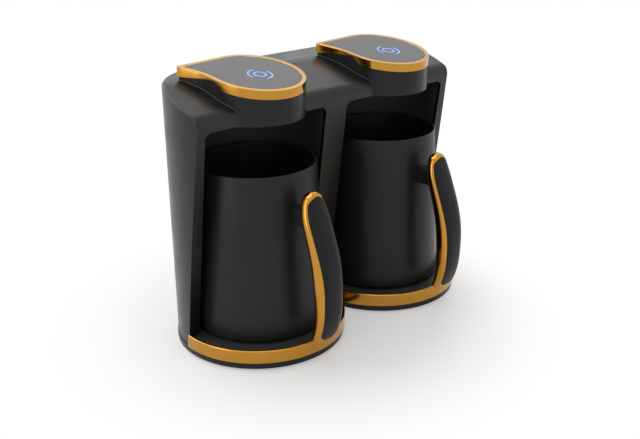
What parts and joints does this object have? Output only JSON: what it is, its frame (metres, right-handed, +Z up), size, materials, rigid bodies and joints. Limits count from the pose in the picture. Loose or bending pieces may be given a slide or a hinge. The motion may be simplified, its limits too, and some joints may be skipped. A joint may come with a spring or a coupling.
{
  "type": "electric turkish coffee maker",
  "caption": "Twin electric Turkish coffee maker: black casing with two heated bays, drop-shaped touch heads, bright bands, and a lift-out pot with a bowed handle in each bay.",
  "frame": {"origin": "on the table, at the middle of the footprint with both pot handles counted in", "axes": "+Z up, -Y towards the front where the handles point, +X along the row of two bays"},
  "size_m": [0.2494, 0.1423, 0.1979],
  "materials": {
    "black_plastic": "satin",
    "black_rubber": "matte",
    "polished_gold": "polished",
    "smoked_glass": "satin",
    "blue_light": "lit",
    "plain_steel": "brushed",
    "dark_steel": "dull",
    "black_coated_steel": "satin coating",
    "green_board": "matte",
    "blue_plastic": "moulded",
    "dark_plastic": "moulded",
    "sensor_brass": "dull",
    "pale_ceramic": "plain",
    "red_sleeve": "matte",
    "grey_sleeve": "matte"
  },
  "bodies": {
    "machine": {"casing": "black_plastic", "base_tray": "black_plastic", "feet": "black_rubber", "base_screws": "plain_steel", "cord_gland": "black_plastic", "power_board": "green_board", "relays": "blue_plastic", "supply_module": "dark_plastic", "deck_left": "black_plastic", "deck_right": "black_plastic", "base_band_left": "polished_gold", "base_band_right": "polished_gold", "heating_plate_left": "plain_steel", "heating_plate_right": "plain_steel", "plate_seal_left": "black_rubber", "plate_seal_right": "black_rubber", "heating_element_left": "dark_steel", "heating_element_right": "dark_steel", "temperature_sensor_left": "sensor_brass", "temperature_sensor_right": "sensor_brass", "thermal_fuse_left": "pale_ceramic", "thermal_fuse_right": "pale_ceramic", "bay_liner_left": "black_plastic", "bay_liner_right": "black_plastic", "head_shell_left": "black_plastic", "head_shell_right": "black_plastic", "head_cover_left": "black_plastic", "head_cover_right": "black_plastic", "foam_sensor_left": "dark_plastic", "foam_sensor_right": "dark_plastic", "head_rim_left": "polished_gold", "head_rim_right": "polished_gold", "touch_glass_left": "smoked_glass", "touch_glass_right": "smoked_glass", "touch_icon_left": "blue_light", "touch_icon_right": "blue_light", "touch_board_left": "green_board", "touch_board_right": "green_board", "head_screws": "plain_steel", "heater_loom_left": "red_sleeve", "heater_loom_right": "red_sleeve", "head_loom_left": "grey_sleeve", "head_loom_right": "grey_sleeve"},
    "pot_left": {"pot_body_left": "black_coated_steel", "pot_disc_left": "plain_steel", "handle_stud_left": "plain_steel", "handle_neck_left": "black_plastic", "grip_frame_left": "polished_gold", "grip_cover_left": "black_plastic"},
    "pot_right": {"pot_body_right": "black_coated_steel", "pot_disc_right": "plain_steel", "handle_stud_right": "plain_steel", "handle_neck_right": "black_plastic", "grip_frame_right": "polished_gold", "grip_cover_right": "black_plastic"}
  },
  "joints": [
    {"name": "pot_left_lift_out", "type": "slide", "parent": "machine", "child": "pot_left", "axis": [0, -0.9659, 0.2588], "range_m": [0, 0.12]},
    {"name": "pot_right_lift_out", "type": "slide", "parent": "machine", "child": "pot_right", "axis": [0, -0.9659, 0.2588], "range_m": [0, 0.12]}
  ]
}
